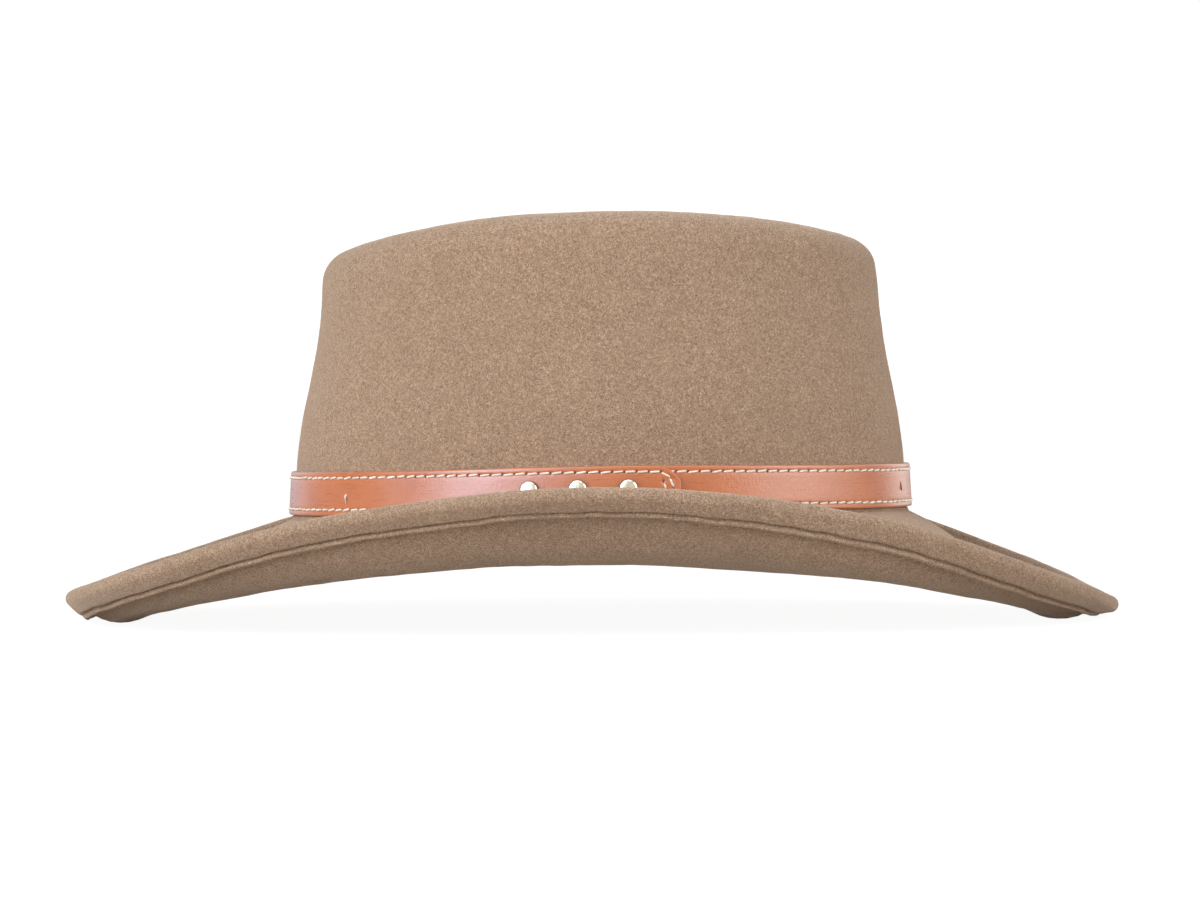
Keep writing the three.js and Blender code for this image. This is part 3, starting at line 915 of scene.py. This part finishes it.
def felt_material():
    """Matt wool felt: light curly nap over a darker ground, faintly mottled."""
    m, tree, shader = material("wool_felt")
    place = object_place(tree)
    strong = maths(tree, "MULTIPLY", curls(tree, place, scale=1300, sharp=13), 0.36)
    weak = maths(tree, "MULTIPLY", curls(tree, place, scale=2200, sharp=13), 0.44)
    fine = maths(tree, "MULTIPLY", noise(tree, place, 3200, detail=1), 0.2)
    nap = maths(tree, "ADD", maths(tree, "ADD", strong, weak), fine)
    mottle = noise(tree, place, 140, detail=3, rough=0.6)
    cloud = noise(tree, place, 16)
    colour = ramp(tree, nap, [
        (0.06, (0.215, 0.137, 0.087)),
        (0.3, (0.4, 0.27, 0.183)),
        (0.72, (0.76, 0.56, 0.415)),
    ])
    patch = ramp(tree, mottle, [(0.3, (0.965, 0.96, 0.955)), (0.7, (1.03, 1.03, 1.03))])
    colour = blend(tree, 1.0, colour, patch, "MULTIPLY")
    drift = ramp(tree, cloud, [(0.3, (0.965, 0.96, 0.95)), (0.7, (1.03, 1.03, 1.03))])
    colour = blend(tree, 1.0, colour, drift, "MULTIPLY")
    tree.links.new(colour, shader.inputs["Base Color"])
    shader.inputs["Roughness"].default_value = 0.95
    shader.inputs["Specular IOR Level"].default_value = 0.15
    shader.inputs["Sheen Weight"].default_value = 0.8
    shader.inputs["Sheen Roughness"].default_value = 0.3
    shader.inputs["Sheen Tint"].default_value = (1, 0.83, 0.68, 1)
    normal = bump(tree, nap, distance=0.00014, strength=0.8)
    normal = bump(tree, mottle, distance=0.0008, strength=0.1, normal=normal)
    tree.links.new(normal, shader.inputs["Normal"])
    return m


def fibre_material():
    """Single wool fibres, a little paler than the felt they stand on."""
    m, tree, shader = material("wool_fibre")
    tone = noise(tree, object_place(tree), 500, rough=0.6)
    colour = ramp(tree, tone, [(0.35, (0.46, 0.33, 0.23)), (0.65, (0.72, 0.56, 0.44))])
    tree.links.new(colour, shader.inputs["Base Color"])
    shader.inputs["Roughness"].default_value = 0.8
    shader.inputs["Specular IOR Level"].default_value = 0.3
    return m


def turned(tree, vector, degrees, scale):
    """A flat map turned and stretched."""
    n = node(tree, "ShaderNodeMapping", {"Rotation": (0, 0, math.radians(degrees)), "Scale": scale})
    tree.links.new(vector, n.inputs["Vector"])
    return n.outputs["Vector"]


def leather_material():
    """Saddle leather with a smooth finish: fine slanting grain, faint streaks, and painted shade in the
    stitch and tack holes.
    """
    m, tree, shader = material("saddle_leather")
    place = object_place(tree)
    flat = node(tree, "ShaderNodeTexCoord").outputs["UV"]
    grain = node(tree, "ShaderNodeTexVoronoi", {"Scale": 1, "Randomness": 0.85}, feature="F1")
    tree.links.new(turned(tree, flat, 28, (1500, 850, 1)), grain.inputs["Vector"])
    cells = grain.outputs["Distance"]
    streaks = noise(tree, turned(tree, flat, 0, (90, 2200, 1)), 1, rough=0.6)
    tone = noise(tree, place, 60, detail=3, rough=0.6)
    speck = noise(tree, place, 1400, rough=0.6)
    colour = ramp(tree, tone, [(0.3, (0.56, 0.14, 0.024)), (0.7, (0.65, 0.182, 0.04))])
    dark = ramp(tree, speck, [(0.35, (0.93, 0.91, 0.9)), (0.65, (1.04, 1.05, 1.05))])
    colour = blend(tree, 1.0, colour, dark, "MULTIPLY")
    # Painted shade: the stitch and tack holes' dents are blended to near black.
    hole = node(tree, "ShaderNodeAttribute", attribute_name="hole").outputs["Fac"]
    colour = blend(tree, hole, colour, (0.03, 0.011, 0.005))
    tree.links.new(colour, shader.inputs["Base Color"])
    gloss = ramp(tree, streaks, [(0.3, (0.25, 0.25, 0.25)), (0.7, (0.38, 0.38, 0.38))])
    tree.links.new(gloss, shader.inputs["Roughness"])
    shader.inputs["Specular IOR Level"].default_value = 1
    shader.inputs["Coat Weight"].default_value = 1
    shader.inputs["Coat Roughness"].default_value = 0.32
    normal = bump(tree, cells, distance=0.0001, strength=0.6)
    normal = bump(tree, streaks, distance=0.0001, strength=0.35, normal=normal)
    tree.links.new(normal, shader.inputs["Normal"])
    return m


def thread_material(name, dark, light):
    """Waxed thread, twisted."""
    m, tree, shader = material(name)
    ply = noise(tree, object_place(tree), 2600, rough=0.6)
    colour = ramp(tree, ply, [(0.3, dark), (0.7, light)])
    tree.links.new(colour, shader.inputs["Base Color"])
    shader.inputs["Roughness"].default_value = 0.6
    tree.links.new(bump(tree, ply, distance=0.0001, strength=0.6), shader.inputs["Normal"])
    return m


def rivet_material():
    """Pale polished brass with faint rubbing, with painted shade and painted dark reflection on its side
    where it meets the leather.
    """
    m, tree, shader = material("pale_brass")
    rub = noise(tree, object_place(tree), 900, detail=3, rough=0.6)
    colour = ramp(tree, rub, [(0.3, (0.9, 0.8, 0.6)), (0.7, (0.96, 0.9, 0.74))])
    foot_shade = node(tree, "ShaderNodeAttribute", attribute_name="foot_shade").outputs["Fac"]
    # Painted shade: the rivet's side near the leather is blended to a dark brown.
    colour = blend(tree, maths(tree, "MULTIPLY", foot_shade, 0.9), colour, (0.1, 0.07, 0.045))
    tree.links.new(colour, shader.inputs["Base Color"])
    gloss = ramp(tree, rub, [(0.3, (0.11, 0.11, 0.11)), (0.7, (0.16, 0.16, 0.16))])
    tree.links.new(gloss, shader.inputs["Roughness"])
    shader.inputs["Metallic"].default_value = 1
    return m


# Studio

def glowing(name, base, glow, tint=WHITE):
    """A studio surface that is faintly uneven and partly lit from behind."""
    m, tree, shader = material(name)
    soft = noise(tree, object_place(tree), 3)
    low = [base * 0.98 * c for c in tint]
    high = [base * 1.02 * c for c in tint]
    colour = ramp(tree, soft, [(0.3, low), (0.7, high)])
    tree.links.new(colour, shader.inputs["Base Color"])
    shader.inputs["Roughness"].default_value = 1
    shader.inputs["Specular IOR Level"].default_value = 0
    shader.inputs["Emission Color"].default_value = (*WHITE, 1)
    shader.inputs["Emission Strength"].default_value = glow
    return m


def stage_piece(name, corners, faces, finish, seen):
    """A studio surface: one that is seen doesn't light the hat, and one that isn't does."""
    mesh = bpy.data.meshes.new(name)
    mesh.from_pydata(corners, [], faces)
    piece = bpy.data.objects.new(name, mesh)
    piece.data.materials.append(finish)
    piece.visible_camera = seen
    piece.visible_diffuse = not seen
    piece.visible_glossy = not seen
    piece.visible_shadow = not seen
    bpy.context.scene.collection.objects.link(piece)


def square(size, z):
    return [(-size, -size, z), (size, -size, z), (size, size, z), (-size, size, z)]


def studio_surfaces():
    """White floor and walls for the camera, and a duller table top under them that lights the hat."""
    level = [(0, 1, 2, 3)]
    white = glowing("white_floor", base=0.16, glow=0.94)
    stage_piece("studio_floor", square(STAGE_SIZE, 0), level, white, seen=True)
    table = glowing("grey_table", base=0.53, glow=0.07, tint=(1, 0.91, 0.83))
    stage_piece("studio_table", square(STAGE_SIZE, -TABLE_DROP), level, table, seen=False)
    walls = [(0, 1, 5, 4), (1, 2, 6, 5), (2, 3, 7, 6), (3, 0, 4, 7), (4, 5, 6, 7)]
    room = square(STAGE_SIZE, -1) + square(STAGE_SIZE, STAGE_SIZE)
    white = glowing("white_room", base=0.1, glow=1.05)
    stage_piece("studio_room", room, walls, white, seen=True)


def softbox(name, azimuth, elevation, distance, size, radiance, colour, use):
    """One square of soft light, turned towards the hat."""
    a, e = math.radians(azimuth), math.radians(elevation)
    towards = Vector((math.cos(a) * math.cos(e), math.sin(a) * math.cos(e), math.sin(e)))
    data = bpy.data.lights.new(name, "AREA")
    data.shape = "RECTANGLE"
    data.size, data.size_y = size
    data.energy = radiance * math.pi * size[0] * size[1]
    data.color = colour
    light = bpy.data.objects.new(name, data)
    light.location = towards * distance + Vector((0, 0, AIM_HEIGHT))
    light.rotation_mode = "QUATERNION"
    light.rotation_quaternion = towards.to_track_quat("Z", "Y")
    light.visible_camera = False
    light.visible_diffuse = use != "shine"
    light.visible_glossy = use != "matt"
    bpy.context.scene.collection.objects.link(light)


def studio_light():
    """The softboxes, and an even light from all round."""
    for row in SOFTBOXES:
        softbox(**dict(zip(SOFTBOX_COLUMNS, row)))
    world = bpy.data.worlds.new("studio")
    world.use_nodes = True
    back = world.node_tree.nodes["Background"]
    back.inputs["Color"].default_value = (*WHITE, 1)
    back.inputs["Strength"].default_value = WORLD_LIGHT
    bpy.context.scene.world = world
    bpy.context.scene.view_settings.view_transform = "Standard"


def camera(crown_y):
    """Looks along -X with a slight tilt down and roll, from the photograph's distance and height."""
    pitch = math.atan((IMAGE_HEIGHT / 2 - HORIZON_Y_PX) / FOCAL_PX)
    data = bpy.data.cameras.new("camera")
    data.sensor_width = SENSOR_MM
    data.lens = FOCAL_PX * SENSOR_MM / IMAGE_WIDTH
    data.clip_start = 0.05
    data.clip_end = 100
    cam = bpy.data.objects.new("camera", data)
    ahead = Vector((-math.cos(pitch), 0, -math.sin(pitch)))
    right = Vector((0, 1, -CAMERA_ROLL)).normalized()
    up = right.cross(ahead)
    turn = Matrix((right, up, -ahead)).transposed().to_4x4()
    place = Vector((CAMERA_DISTANCE_MM, crown_y, CAMERA_HEIGHT_MM)) * MM
    cam.matrix_world = Matrix.Translation(place) @ turn
    bpy.context.scene.collection.objects.link(cam)
    bpy.context.scene.camera = cam


def main():
    rng = np.random.default_rng(SEED)
    relief = [Waves(rng, **waves) for waves in RELIEF]
    degrees = np.linspace(0, 360, SECTIONS, endpoint=False)
    rings, crown, outside = felt_lines(degrees, relief, rng)
    low = rings.reshape(-1, 3).min(axis=0)
    high = rings.reshape(-1, 3).max(axis=0)
    shift = np.array([-(low[0] + high[0]) / 2, -(low[1] + high[1]) / 2, -low[2]])
    camera(shift[1])
    studio_surfaces()
    studio_light()
    felt_body(rings, shift, felt_material())
    fibre = fibre_material()
    nap("crown", rings[:crown], shift, fibre, rng)
    nap("brim", rings[crown:outside], shift, fibre, rng)
    fold = crown + BREAK_STEPS + BRIM_STEPS
    edge = rings[fold - NAP_EDGE["before"]:fold + FOLD_STEPS + NAP_EDGE["after"]]
    nap("edge", edge, shift, fibre, rng)
    line = StrapLine()
    strap(line, shift, leather_material())
    cream = thread_material("cream_thread", (0.86, 0.78, 0.67), (1, 0.97, 0.9))
    brown = thread_material("brown_thread", (0.26, 0.1, 0.045), (0.46, 0.22, 0.1))
    stitching(line, shift, cream, rng)
    tack_threads(line, "cream", shift, cream)
    tack_threads(line, "brown", shift, brown)
    metal = rivet_material()
    for name, along in RIVETS.items():
        rivet(name, along, shift, metal)


main()
